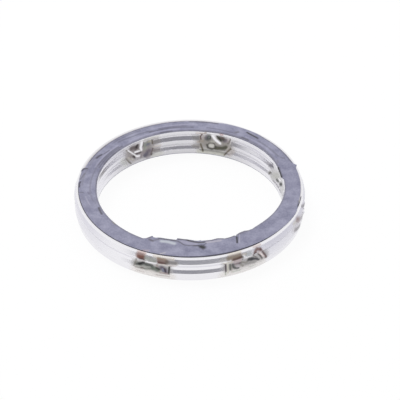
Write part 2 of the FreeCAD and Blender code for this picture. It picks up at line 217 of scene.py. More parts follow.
# Each weld: its middle in degrees and half its length in mm; what the tips dug in or
# squeezed up, as (along, height, half length, half height, depth); and the tints, scale
# and bare streaks that the heat left, as strokes, with painted shade and a painted
# highlight among those of the front weld. Along and height are in mm, and along
# runs anticlockwise seen from above.
RIM_WELDS = [
    {
        "middle": -110.0, "half": 3.6,
        "dents": [
            (-1.6, 2.6, 0.8, 0.6, 0.12), (2.5, 2.3, 0.8, 0.9, 0.14), (0.1, 3.35, 1.3, 0.3, -0.1),
            (-0.8, 1.9, 1.6, 0.2, -0.06), (1.1, 2.0, 0.5, 0.5, 0.08),
        ],
        "tints": [
            ("#98958F", 0.8, 0.95, [(-2.6, 2.3), (3.1, 2.3)]),
            ("#EFE6D8", 0.35, 1.0, [(-3.0, 0.6), (3.8, 0.7)]),
            ("#E3D8C4", 0.5, 0.3, [(0.8, 5.0), (4.4, 4.9)]),
            ("#C7A79E", 0.6, 0.25, [(-2.4, 5.1), (-1.0, 5.1)]),
            ("#8C5A46", 0.8, 0.5, [(-2.3, 4.45), (-1.4, 4.5)]),
            ("#754537", 0.85, 0.3, [(-2.2, 4.15), (-1.3, 4.3)]),
            ("#502E2E", 0.9, 0.22, [(-1.9, 3.85), (-1.15, 3.95)]),
            ("#94998C", 0.7, 0.4, [(-0.7, 4.3), (0.9, 4.2)]),
            ("#7F8278", 0.5, 0.12, [(-0.3, 3.85), (1.2, 4.0)]),
            ("#7E5A49", 0.8, 0.42, [(1.7, 4.4), (3.2, 4.3)]),
            ("#5A3226", 0.92, 0.24, [(1.7, 3.95), (2.9, 3.9)]),
            ("#A58C6E", 0.6, 0.15, [(1.4, 4.75), (3.0, 4.7)]),
            ("#716860", 0.7, 0.4, [(3.2, 4.15), (4.9, 4.2)]),
            ("#E6DAD2", 0.75, 0.2, [(1.8, 3.35), (4.8, 3.5)]),
            # Painted highlight: a whitish lens of light on the left dent.
            ("#D2CACC", 0.8, 0.18, [(-2.2, 3.4), (-1.2, 3.35)]),
            ("#A08C88", 0.7, 0.2, [(1.3, 3.2), (1.4, 2.8)]),
            # Painted shade: from here to the black blob, dark strokes paint the shaded reflection
            # of the lower ridge's upward flank.
            ("#868A85", 0.85, 0.4, [(-2.9, 2.2), (-0.6, 2.4), (0.3, 2.4)]),
            ("#50524F", 0.85, 0.24, [(-2.8, 2.1), (-1.9, 2.4)]),
            ("#4B504C", 0.88, 0.3, [(-0.8, 2.6), (0.4, 2.45)]),
            ("#454946", 0.8, 0.14, [(-0.7, 3.0), (0.4, 2.85)]),
            ("#17181A", 0.98, 0.28, [(-2.2, 2.3), (-1.25, 2.85)]),
            ("#8D8780", 0.75, 0.12, [(-2.8, 3.2), (-3.0, 2.4), (-3.3, 1.5)]),
            ("#B8B8B2", 0.8, 0.13, [(-2.8, 1.75), (-1.2, 2.05), (0.0, 2.25)]),
            ("#8E8B85", 0.75, 0.12, [(-3.0, 1.35), (-0.9, 1.6), (0.4, 1.9)]),
            ("#6F6560", 0.8, 0.18, [(-1.8, 1.55), (-1.4, 1.6)]),
            ("#868D84", 0.6, 0.18, [(-1.2, 1.5), (0.3, 1.9)]),
            # Painted shade: the same shaded band of the upward flank, carried on to the right.
            ("#6C756A", 0.88, 0.45, [(0.7, 2.1), (1.4, 1.85)]),
            ("#383C35", 0.9, 0.24, [(1.2, 2.3), (1.7, 2.1)]),
            ("#625565", 0.88, 0.48, [(2.2, 2.5), (3.1, 1.85)]),
            ("#8E93A8", 0.8, 0.18, [(2.35, 2.25), (2.45, 1.9)]),
            ("#3C3544", 0.9, 0.18, [(2.75, 2.3), (2.9, 1.7)]),
            ("#B4B0BA", 0.8, 0.1, [(3.25, 2.4), (3.3, 1.8)]),
            ("#343230", 0.96, 0.17, [(3.65, 3.0), (3.58, 1.5)]),
            ("#A58F8E", 0.6, 0.18, [(1.9, 1.35), (3.4, 1.35)]),
            ("#B4A8A2", 0.65, 0.1, [(1.1, 0.7), (3.6, 0.75)]),
            ("#C9BDB8", 0.55, 0.1, [(-2.8, 0.65), (-1.3, 0.7)]),
            (None, 0.95, 0.17, [(-0.7, 3.4), (1.2, 3.45)]),
        ],
    },
    {
        "middle": -60.5, "half": 4.1,
        "dents": [
            (-1.8, 2.9, 0.8, 0.6, 0.12), (1.2, 2.4, 0.8, 0.4, 0.14), (3.3, 2.4, 0.5, 1.0, -0.08),
            (-1.6, 1.8, 0.7, 0.3, -0.06), (2.4, 3.0, 0.5, 0.8, 0.12), (0.3, 3.6, 0.8, 0.5, -0.06),
        ],
        "tints": [
            ("#9C9896", 0.8, 1.0, [(-3.7, 2.3), (3.8, 2.3)]),
            ("#EFE8DC", 0.35, 1.0, [(-4.4, 0.6), (3.6, 0.6)]),
            ("#866E50", 0.8, 0.45, [(-3.6, 4.45), (-1.4, 4.5)]),
            ("#8A8474", 0.4, 0.4, [(-4.9, 4.4), (-3.8, 4.4)]),
            ("#553526", 0.92, 0.28, [(-2.8, 3.95), (-1.2, 4.05)]),
            ("#DDD0B8", 0.45, 0.2, [(-3.5, 5.1), (-1.2, 5.1)]),
            ("#C9B2A8", 0.55, 0.2, [(1.6, 5.1), (3.1, 5.0)]),
            ("#E9E2D2", 0.75, 0.2, [(-4.6, 3.5), (-2.9, 3.3)]),
            ("#54464A", 0.9, 0.14, [(-4.15, 3.05), (-4.2, 1.4)]),
            ("#B5BFA8", 0.6, 0.15, [(-4.15, 1.1), (-4.15, 0.6)]),
            ("#E6E3D4", 0.85, 0.14, [(-3.75, 3.0), (-3.7, 0.9)]),
            ("#565A4E", 0.85, 0.19, [(-3.3, 2.8), (-3.2, 1.6)]),
            ("#A89A8C", 0.5, 0.06, [(-2.9, 4.8), (-2.9, 0.6)]),
            ("#C8B7B8", 0.9, 0.36, [(-2.3, 3.25), (-1.3, 3.15)]),
            ("#8A727C", 0.8, 0.14, [(-2.4, 2.6), (-1.4, 2.5)]),
            ("#49353D", 0.9, 0.12, [(-1.4, 2.5), (-1.1, 2.5)]),
            ("#4A4E4E", 0.88, 0.24, [(-2.75, 2.6), (-2.6, 1.95), (-2.2, 1.65), (-1.7, 1.55)]),
            ("#CFC6CC", 0.9, 0.19, [(-1.9, 1.95), (-1.4, 1.9)]),
            ("#8F8A80", 0.65, 0.2, [(-1.1, 2.1), (-0.7, 1.7)]),
            ("#65605A", 0.85, 0.12, [(-1.1, 4.3), (-0.75, 3.8), (-0.75, 3.2)]),
            ("#B9BEBF", 0.8, 0.45, [(0.1, 4.2), (0.6, 4.1)]),
            (None, 0.8, 0.22, [(0.0, 3.5), (0.9, 3.5)]),
            ("#C8BCA8", 0.5, 0.2, [(-0.7, 4.5), (-0.2, 4.4)]),
            ("#8F8B82", 0.8, 0.14, [(-1.0, 2.7), (-0.3, 2.3), (0.3, 2.3)]),
            ("#9C9A98", 0.75, 0.2, [(-0.1, 1.9), (1.0, 1.7), (2.0, 1.5)]),
            ("#1B1B21", 0.98, 0.38, [(0.6, 2.7), (1.3, 2.5)]),
            ("#3C3C42", 0.92, 0.24, [(1.3, 2.4), (2.1, 2.2), (2.7, 1.75)]),
            ("#BCC6B8", 0.6, 0.14, [(-2.7, 0.9), (-1.2, 0.9)]),
            ("#BCC6B8", 0.6, 0.12, [(0.6, 0.9), (1.9, 0.8)]),
            ("#B29B98", 0.7, 0.2, [(2.1, 3.7), (2.8, 3.7)]),
            ("#7A5751", 0.88, 0.32, [(1.6, 3.8), (1.8, 4.2), (2.2, 4.5), (2.9, 4.2)]),
            ("#664B4B", 0.88, 0.2, [(2.9, 4.2), (3.5, 3.4), (4.0, 2.4), (4.35, 1.5)]),
            ("#553E40", 0.9, 0.14, [(1.5, 3.95), (1.9, 3.85)]),
            ("#77706F", 0.85, 0.12, [(1.4, 3.5), (1.7, 3.0), (2.2, 2.6)]),
            ("#C8C6C6", 0.85, 0.13, [(1.8, 3.2), (2.6, 2.5), (2.8, 2.0)]),
            ("#544E4C", 0.9, 0.15, [(2.7, 3.1), (3.2, 2.3), (3.5, 1.6)]),
            ("#F3E6E4", 0.97, 0.18, [(2.5, 3.6), (3.2, 2.9), (3.8, 2.0)]),
        ],
    },
    {
        "middle": -17.3, "half": 3.5,
        "dents": [
            (2.0, 2.9, 0.9, 1.2, 0.12), (-1.0, 2.8, 1.0, 1.2, 0.12),
        ],
        "tints": [
            ("#C4C0C6", 0.6, 1.2, [(-2.2, 2.6), (2.6, 2.6)]),
            ("#93807F", 0.85, 0.6, [(-1.8, 4.0), (-0.9, 3.4), (0.1, 2.8)]),
            ("#C3B2B8", 0.7, 0.25, [(0.0, 2.3), (0.8, 1.9)]),
            ("#908C90", 0.8, 0.4, [(-2.1, 1.8), (-0.9, 1.2), (0.6, 0.8)]),
            ("#C8C3B4", 0.5, 0.3, [(-3.4, 4.2), (-2.6, 4.2)]),
            ("#A49EA2", 0.7, 0.35, [(0.2, 2.6), (1.5, 1.8), (3.2, 1.0)]),
            ("#868185", 0.75, 0.3, [(1.6, 4.6), (4.6, 3.1)]),
            ("#5A505A", 0.8, 0.16, [(4.0, 3.5), (4.4, 1.5)]),
            (None, 0.8, 0.25, [(3.1, 2.8), (3.5, 2.2)]),
        ],
    },
]
BORE_WELDS = [
    {
        "middle": 123.0, "half": 3.2,
        "dents": [
            (0.8, 3.6, 0.9, 0.5, 0.12), (-2.0, 3.6, 0.7, 0.6, 0.12), (-1.9, 1.4, 0.8, 0.6, 0.12),
            (-0.6, 3.6, 0.25, 1.2, -0.1), (0.3, 2.5, 0.7, 0.25, -0.1), (0.9, 1.6, 0.5, 0.5, 0.12),
        ],
        "tints": [
            ("#948B89", 0.82, 1.6, [(-1.9, 2.5), (1.7, 2.6)]),
            ("#DEDED0", 0.4, 0.6, [(-4.4, 0.6), (-3.2, 0.5)]),
            ("#DFDCCF", 0.4, 0.3, [(-4.0, 4.7), (-1.3, 4.7)]),
            ("#8A7F74", 0.5, 0.4, [(-4.2, 3.5), (-3.2, 3.5)]),
            ("#8A7B72", 0.5, 0.35, [(-4.2, 1.5), (-3.3, 1.5)]),
            ("#E1D7CD", 0.6, 0.25, [(-4.4, 2.5), (-3.2, 2.5)]),
            ("#DCDED7", 0.5, 0.5, [(3.2, 1.0), (4.2, 2.4)]),
            ("#645A4B", 0.9, 0.14, [(-2.85, 4.1), (-2.9, 3.2)]),
            ("#645550", 0.9, 0.15, [(-3.0, 2.0), (-2.8, 1.3), (-2.6, 0.8)]),
            ("#95958A", 0.85, 0.5, [(-2.1, 3.7), (-1.7, 3.4)]),
            ("#7D7D8C", 0.8, 0.28, [(-2.2, 3.3), (-1.8, 3.2)]),
            ("#BEB49B", 0.8, 0.15, [(-2.5, 3.95), (-2.2, 3.8)]),
            ("#969B94", 0.8, 0.3, [(-1.5, 3.6), (-1.3, 3.2)]),
            ("#75736B", 0.75, 0.12, [(-1.1, 4.1), (-1.1, 3.2)]),
            ("#A5AA9B", 0.7, 0.25, [(-1.5, 2.8), (-1.3, 2.4)]),
            ("#7E7480", 0.88, 0.6, [(-2.2, 1.6), (-1.6, 1.1)]),
            ("#737080", 0.8, 0.25, [(-1.8, 1.1), (-1.3, 0.95)]),
            ("#A79FA5", 0.6, 0.3, [(-2.2, 0.6), (-1.8, 0.5)]),
            ("#A0949A", 0.7, 0.25, [(-0.9, 1.7), (-0.5, 1.0)]),
            ("#665A5C", 0.92, 0.5, [(0.4, 3.6), (1.6, 3.8)]),
            ("#302629", 0.95, 0.25, [(0.2, 4.0), (0.4, 3.6)]),
            ("#5A4E4F", 0.75, 0.15, [(0.3, 3.2), (0.8, 3.1)]),
            ("#CFC9BF", 0.6, 0.2, [(1.2, 0.9), (2.4, 2.0)]),
            ("#574A52", 0.9, 0.2, [(-0.4, 2.0), (0.5, 2.05)]),
            ("#463A3A", 0.93, 0.25, [(1.2, 1.8), (0.8, 1.3)]),
            ("#968C8C", 0.7, 0.15, [(1.3, 1.9), (1.9, 1.9)]),
            ("#7D786E", 0.85, 0.13, [(1.9, 0.5), (2.4, 1.2), (2.9, 2.0)]),
            ("#918C87", 0.8, 0.13, [(1.8, 2.8), (2.3, 3.3), (2.9, 4.0)]),
            (None, 0.97, 0.24, [(-0.75, 4.9), (-0.65, 4.0), (-0.45, 3.2), (-0.6, 2.5)]),
            (None, 0.97, 0.18, [(-0.1, 2.5), (0.8, 2.6)]),
            (None, 0.97, 0.2, [(-0.15, 1.3), (0.4, 1.4)]),
            (None, 0.85, 0.14, [(0.4, 1.4), (0.9, 2.0), (1.6, 2.8), (2.4, 3.7)]),
        ],
    },
    {
        "middle": 74.0, "half": 3.2,
        "dents": [
            (1.5, 3.8, 0.7, 0.6, 0.12), (-1.1, 4.0, 0.8, 0.5, 0.12), (0.2, 3.8, 0.3, 1.0, -0.1),
            (0.8, 1.95, 0.5, 0.4, -0.1), (-0.9, 1.7, 0.9, 0.4, 0.12),
        ],
        "tints": [
            ("#968F86", 0.82, 1.6, [(-1.9, 2.6), (1.9, 2.6)]),
            ("#D7D7C3", 0.5, 0.45, [(-1.5, 0.6), (3.2, 0.5)]),
            ("#DCD2CC", 0.5, 0.4, [(-3.4, 1.6), (-2.8, 0.9)]),
            ("#E1CDBE", 0.5, 0.2, [(2.0, 4.8), (3.6, 4.75)]),
            ("#8F8A80", 0.45, 0.35, [(3.2, 3.5), (4.2, 3.5)]),
            ("#B5A594", 0.5, 0.25, [(2.5, 2.8), (3.3, 2.7)]),
            ("#8F8678", 0.45, 0.35, [(3.2, 1.5), (4.2, 1.5)]),
            ("#786E69", 0.88, 0.13, [(-2.9, 4.4), (-2.75, 3.7), (-2.4, 3.2)]),
            ("#7C727C", 0.88, 0.4, [(-2.1, 3.9), (-1.7, 3.6)]),
            ("#C0B3B4", 0.6, 0.18, [(-2.4, 4.3), (-2.4, 3.7)]),
            ("#454138", 0.94, 0.48, [(-1.4, 4.0), (-0.7, 4.0)]),
            ("#695252", 0.8, 0.2, [(-1.5, 4.2), (-1.1, 4.15)]),
            ("#343329", 0.92, 0.18, [(-0.3, 4.4), (-0.7, 3.9), (-1.0, 3.5)]),
            ("#535756", 0.93, 0.5, [(1.3, 3.9), (1.6, 3.5)]),
            ("#827682", 0.7, 0.15, [(1.8, 4.1), (1.9, 3.5)]),
            ("#989C98", 0.7, 0.12, [(1.2, 3.9), (1.3, 3.7)]),
            ("#434743", 0.8, 0.12, [(1.0, 4.1), (1.1, 3.4)]),
            ("#6C554E", 0.92, 0.14, [(2.6, 4.4), (2.9, 3.9), (2.8, 3.2)]),
            ("#C3B4B4", 0.8, 0.11, [(2.35, 4.2), (2.45, 3.3)]),
            ("#B48C8C", 0.6, 0.2, [(-1.4, 5.15), (-1.0, 5.1)]),
            ("#968273", 0.6, 0.15, [(1.8, 5.15), (2.0, 4.9)]),
            ("#C3C3B9", 0.8, 0.2, [(0.4, 3.1), (0.8, 2.85)]),
            ("#87857B", 0.7, 0.2, [(-2.2, 2.4), (-1.5, 2.0)]),
            ("#4F4D3D", 0.94, 0.42, [(-2.0, 2.2), (-1.4, 1.75), (-0.2, 1.55)]),
            ("#5F5D4B", 0.9, 0.2, [(-0.5, 1.5), (0.1, 1.4)]),
            ("#E6E4DC", 0.97, 0.42, [(0.6, 2.0), (0.9, 2.0)]),
            ("#4C4A42", 0.93, 0.2, [
                (0.05, 1.9), (0.15, 1.4), (0.8, 1.15), (1.45, 1.35), (1.65, 2.0)]),
            ("#5A5850", 0.8, 0.12, [(1.6, 2.0), (1.2, 2.5), (0.6, 2.6), (0.2, 2.5), (0.1, 1.9)]),
            ("#6E6250", 0.92, 0.14, [(-3.1, 2.3), (-2.6, 1.6), (-2.1, 0.9), (-1.8, 0.5)]),
            ("#CFC8C0", 0.6, 0.13, [(-2.6, 2.4), (-2.2, 1.7)]),
            ("#695F48", 0.92, 0.16, [(2.85, 2.1), (2.7, 1.5), (2.4, 0.6)]),
            (None, 0.97, 0.3, [(0.6, 5.0), (0.5, 4.2), (-0.1, 3.4), (-0.8, 2.85)]),
        ],
    },
    {
        "middle": 17.0, "half": 3.6,
        "dents": [
            (1.5, 3.6, 0.9, 0.7, 0.12), (-1.4, 3.4, 0.9, 0.7, 0.12), (1.2, 1.7, 0.8, 0.6, 0.12),
            (-1.0, 2.0, 0.9, 0.6, 0.12),
        ],
        "tints": [
            ("#B4B2B0", 0.6, 1.5, [(-2.2, 2.6), (2.6, 2.6)]),
            ("#B9BAB0", 0.5, 0.6, [(1.0, 3.4), (3.5, 1.4)]),
            ("#1E2020", 0.97, 0.34, [(-0.8, 2.7), (-0.2, 2.2), (0.2, 1.9)]),
            ("#555855", 0.92, 0.36, [(1.2, 2.0), (1.8, 1.7)]),
            ("#7E7B86", 0.85, 0.28, [(3.3, 3.8), (4.6, 3.4)]),
            ("#9D97A2", 0.7, 0.15, [(3.3, 4.6), (3.9, 4.0)]),
            ("#6E6B64", 0.88, 0.26, [(4.2, 1.9), (4.7, 1.4)]),
            (None, 0.8, 0.2, [(0.0, 3.0), (1.1, 2.5)]),
        ],
    },
]


# Painted shade: a greyish lavender film over the mirror where its reflections are made darker, on
# the rim's side walls towards their top and in the bore towards its foot, as (colour, cover at the
# foot, cover at the top, greatest height, middle and half span in degrees).
RIM_PAINTED_SHADE = [("#7C7AA0", 0.0, 0.38, 4.9, -20, 50), ("#7C7AA0", 0.0, 0.26, 4.9, 175, 60)]
BORE_PAINTED_SHADE = [("#8E8C90", 0.32, 0.12, 6.0, 98, 60), ("#8E8CC0", 0.04, 0.1, 6.0, 165, 50),
             ("#9A98B4", 0.05, 0.1, 6.0, 30, 40)]
PAINTED_SHADE_FADE = 0.2                     # height over which it ends at its top, mm
TINT_REACH = 2                      # how far past a weld's end its tints may lie
PRESS_FADE = 0.3                    # length over which a pressed stretch ends
PRESS_FOOT = (0.7, 0.95)            # the heights where the welder's tips start to press
PRESS_TOP_FADE = 0.2                # height over which they stop at their top
CRUMPLE = 0.05                      # how far the pressed strip is left uneven
CRUMPLE_LONG, CRUMPLE_HIGH = 0.6, 0.5       # size of one crumple
RIM_PRESSED, RIM_PRESS_TOP = 0.05, 3.85     # how far out it is pressed to, and up to where
BORE_PRESSED, BORE_PRESS_TOP = 0.24, 4.7
OUTWARD = 1                         # dents go out from the bore, and in from the rim


def weld_marks_and_painted_shade(verts, layer, painted_shade, welds, radius, pressed_to, press_top, into):
    """Presses the ridges flat at each weld, dents them, and lays painted shade and the weld tints
    on.
    """
    for vert in verts:
        vert[layer] = (0, 0, 0, 0)
        angle = angle_of(vert.co)
        height = vert.co.z
        # Painted shade: darkens the mirror's colour where its reflections are to look darker.
        for code, low_cover, high_cover, highest, middle, half in painted_shade:
            laid = low_cover + (high_cover - low_cover) * height / top
            laid *= 1 - ramp(height, highest - PAINTED_SHADE_FADE, highest)
            laid *= 1 - ramp(abs(turn_between(angle, middle)), half / 2, half)
            vert[layer] = Vector(vert[layer]) * (1 - laid) + Vector(colour(code)) * laid
        for number, weld in enumerate(welds):
            along = math.radians(turn_between(angle, weld["middle"])) * radius
            if abs(along) > weld["half"] + TINT_REACH:
                continue
            pressed = 1 - ramp(abs(along), weld["half"] - PRESS_FADE, weld["half"])
            pressed *= ramp(height, *PRESS_FOOT)
            pressed *= 1 - ramp(height, press_top - PRESS_TOP_FADE, press_top)
            spot = Vector((along / CRUMPLE_LONG, height / CRUMPLE_HIGH, number * 7.0))
            shift = pressed * (pressed_to - ridge_at(height) + CRUMPLE * noise.noise(spot))
            for place, level, half_long, half_high, depth in weld["dents"]:
                dent = depth * bump(along - place, height - level, half_long, half_high)
                shift += into * pressed * dent
            vert.co.xy *= 1 + shift / vert.co.xy.length
            lay_strokes(vert, layer, along, height, weld["tints"])


def finish_piece(name, mesh, material):
    """Turns a bmesh in millimetres into a smooth piece of the part."""
    bmesh.ops.scale(mesh, vec=(MM, MM, MM), verts=mesh.verts)
    data = bpy.data.meshes.new(name)
    mesh.to_mesh(data)
    mesh.free()
    data.shade_smooth()
    data.set_sharp_from_angle(angle=math.radians(50))
    data.materials.append(material)
    piece = bpy.data.objects.new(name, data)
    bpy.context.scene.collection.objects.link(piece)
    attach(piece, "root")
    return piece


def add_node(tree, kind, inputs=None, **settings):
    """Adds a node. An input given a socket is linked to it, and any other input is set."""
    new = tree.nodes.new(kind)
    for name, value in settings.items():
        setattr(new, name, value)
    for name, value in (inputs or {}).items():
        if isinstance(value, bpy.types.NodeSocket):
            tree.links.new(value, new.inputs[name])
        else:
            new.inputs[name].default_value = value
    return new


# Bright rolled stainless: a clear mirror streaked along the strip by the rolls.
# Where a weld heated it, a dull film of tint and scale covers the mirror. The same
# film also carries painted shade that darkens the rim's side walls and the bore.
rolled_steel = bpy.data.materials.new("rolled_stainless_steel")
rolled_steel.use_nodes = True
tree = rolled_steel.node_tree
shader = tree.nodes["Principled BSDF"]
place = add_node(tree, "ShaderNodeTexCoord")
axes = add_node(tree, "ShaderNodeSeparateXYZ", {0: place.outputs["Object"]})
turned = add_node(tree, "ShaderNodeMath", {0: axes.outputs["Y"], 1: axes.outputs["X"]},
                  operation="ARCTAN2")
OUTSIDE = 21.5 * MM                 # the ring's radius, over the ridges
arc = add_node(tree, "ShaderNodeMath", {0: turned.outputs[0], 1: OUTSIDE}, operation="MULTIPLY")
unrolled = add_node(tree, "ShaderNodeCombineXYZ",
                    {"X": arc.outputs[0], "Y": axes.outputs["Z"]})
ROLL_LINE_LONG = 4.0 * MM           # real ones are finer: these are as coarse as has to show
ROLL_LINE_HIGH = 0.06 * MM
stretched = add_node(tree, "ShaderNodeMapping",
                     {"Vector": unrolled.outputs[0],
                      "Scale": (1 / ROLL_LINE_LONG, 1 / ROLL_LINE_HIGH, 1)})
roll_lines = add_node(tree, "ShaderNodeTexNoise",
                      {"Vector": stretched.outputs[0], "Scale": 1.0, "Detail": 3.0})
ROLL_LINE_DEEP = 0.01 * MM
relief = add_node(tree, "ShaderNodeBump",
                  {"Height": roll_lines.outputs["Fac"], "Strength": 0.2,
                   "Distance": ROLL_LINE_DEEP})
film_and_painted_shade = add_node(tree, "ShaderNodeAttribute", attribute_name="tint")
SCALE_GRAIN = 0.25 * MM             # size of a grain of scale at a weld
grains = add_node(tree, "ShaderNodeTexNoise",
                  {"Vector": place.outputs["Object"], "Scale": 1 / SCALE_GRAIN, "Detail": 3.0})
scale_rise = add_node(tree, "ShaderNodeMath",
                      {0: grains.outputs["Fac"], 1: film_and_painted_shade.outputs["Alpha"]},
                      operation="MULTIPLY")
SCALE_THICK = 0.1 * MM
scaly = add_node(tree, "ShaderNodeBump",
                 {"Height": scale_rise.outputs[0], "Strength": 0.5, "Distance": SCALE_THICK,
                  "Normal": relief.outputs[0]})
bare = add_node(tree, "ShaderNodeMath", {0: 1.0, 1: film_and_painted_shade.outputs["Alpha"]},
                operation="SUBTRACT")
clean = add_node(tree, "ShaderNodeVectorMath",
                 {0: colour("#EFEEF2")[:3], 1: bare.outputs[0], 2: film_and_painted_shade.outputs["Color"]},
                 operation="MULTIPLY_ADD")
rough = add_node(tree, "ShaderNodeMapRange",
                 {"Value": film_and_painted_shade.outputs["Alpha"], "To Min": 0.1, "To Max": 0.4})
streaked = add_node(tree, "ShaderNodeMath",
                    {0: roll_lines.outputs["Fac"], 1: 0.1, 2: rough.outputs[0]},
                    operation="MULTIPLY_ADD")
metal = add_node(tree, "ShaderNodeMapRange",
                 {"Value": film_and_painted_shade.outputs["Alpha"], "To Min": 1.0, "To Max": 0.25})
for name, socket in (("Base Color", clean.outputs[0]), ("Roughness", streaked.outputs[0]),
                     ("Metallic", metal.outputs[0]), ("Normal", scaly.outputs[0])):
    tree.links.new(socket, shader.inputs[name])

strip = bmesh.new()
wind_lap(strip, RIM - GAUGE, RIM, "outer", STRIP_END, RIM_WELDS)
wind_lap(strip, RIM - RIM_LAPS * GAUGE, RIM - GAUGE, "neither", STRIP_END, RIM_WELDS)
rim_count = len(strip.verts)
wind_lap(strip, BORE, BORE + GAUGE, "inner", STRIP_START, BORE_WELDS)
wind_lap(strip, BORE + GAUGE, BORE + BORE_LAPS * GAUGE, "neither", STRIP_START, BORE_WELDS)
# The tint attribute holds the weld tints and scale, and the painted shade of the side walls and
# bore.
tint_and_painted_shade_layer = strip.verts.layers.float_color.new("tint")
strip.verts.ensure_lookup_table()
weld_marks_and_painted_shade(strip.verts[:rim_count], tint_and_painted_shade_layer, RIM_PAINTED_SHADE, RIM_WELDS, RIM,
           RIM_PRESSED, RIM_PRESS_TOP, -OUTWARD)
weld_marks_and_painted_shade(strip.verts[rim_count:], tint_and_painted_shade_layer, BORE_PAINTED_SHADE, BORE_WELDS, BORE,
           BORE_PRESSED, BORE_PRESS_TOP, OUTWARD)
wound_strip = finish_piece("wound_strip", strip, rolled_steel)
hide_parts("steel_strip")

# The graphite filler
# A ribbon of soft graphite wound in between the strip's laps. Its edges stand
# proud of the strip and are pressed over it into a matt grey face, above and
# below. Over the bore at the front the upper face is torn and hangs loose.

FACE_RIM = 20.71            # outer edge of the lower face, mm
FACE = 0.1                  # thickness of the pressed faces
FACE_STEPS = 1440           # faces round the ring
FACE_SECTORS = 48
FACE_BANDS = 26             # and from the bore to the rim
MARK_RADIUS = 19            # radius at which a mark's degrees are made mm
RAGGED = 0.05               # how far the face's edges wander
WAVE_LONG, WAVE_HIGH = 1.6, 0.015   # the face's slow waves
GRAIN_LONG, GRAIN_HIGH = 0.5, 0.01  # and its fine unevenness
DROOP = 0.04                # how far the press rounded the face down at its rim
GOUGE = 0.05                # how deep the darkest marks go

# The upper face's two edges, as (degrees, radius in mm). The inner one is torn at
# the front; the outer one bears a few loose flakes.
INNER_EDGE = [
    (-180, 17.35), (-165, 17.45), (-140, 17.5), (-119.5, 17.5), (-117.9, 17.2), (-115.4, 16.05),
    (-113.9, 16.35), (-112.5, 16.3), (-110.4, 16.0), (-108.6, 15.95), (-101.4, 15.9),
    (-98.8, 15.87), (-98.4, 15.38), (-97, 15.42), (-91.4, 15.58), (-89, 15.75), (-86.4, 15.98),
    (-83.3, 16.05), (-82.9, 15.85), (-82.4, 16.1), (-80, 16.15), (-75.7, 16.22), (-71.4, 16.1),
    (-68.6, 16.35), (-67.1, 16.6), (-62.9, 16.68), (-60.2, 16.6), (-59.5, 16.85), (-58.6, 16.6),
    (-55.7, 16.42), (-52.1, 16.5), (-50, 16.83), (-47.1, 17.0), (-43.6, 16.95), (-40, 17.0),
    (-32.9, 17.17), (-25.7, 17.37), (-18.6, 17.5), (-11.4, 17.63), (0, 17.78), (9.3, 17.8),
    (10.8, 17.35), (20.2, 17.55), (22, 17.7), (28.6, 17.85), (38, 17.95), (57, 17.95), (66, 17.85),
    (75, 17.7), (90, 17.5), (110, 17.45), (140, 17.42), (170, 17.4), (180, 17.35),
]
OUTER_EDGE = [
    (-180, 20.75), (-170, 20.7), (-118, 20.72), (-90, 20.62), (-70, 20.6), (-58, 20.68),
    (-50, 20.8), (-38, 20.9), (-30, 21.05), (-22, 21.15), (-19, 21.1), (-16, 20.9), (-12, 20.72),
    (0, 20.72), (16.5, 20.8), (17.8, 20.9), (19.2, 21.3), (20.8, 20.85), (25, 20.75), (47, 20.8),
    (52, 20.92), (65, 20.9), (72, 20.85), (76, 20.68), (90, 20.6), (130, 20.58), (162.5, 20.55),
    (163.5, 20.9), (165.5, 21.0), (167, 20.8), (169, 20.75), (173, 20.8), (176.5, 20.88),
    (180, 20.75),
]

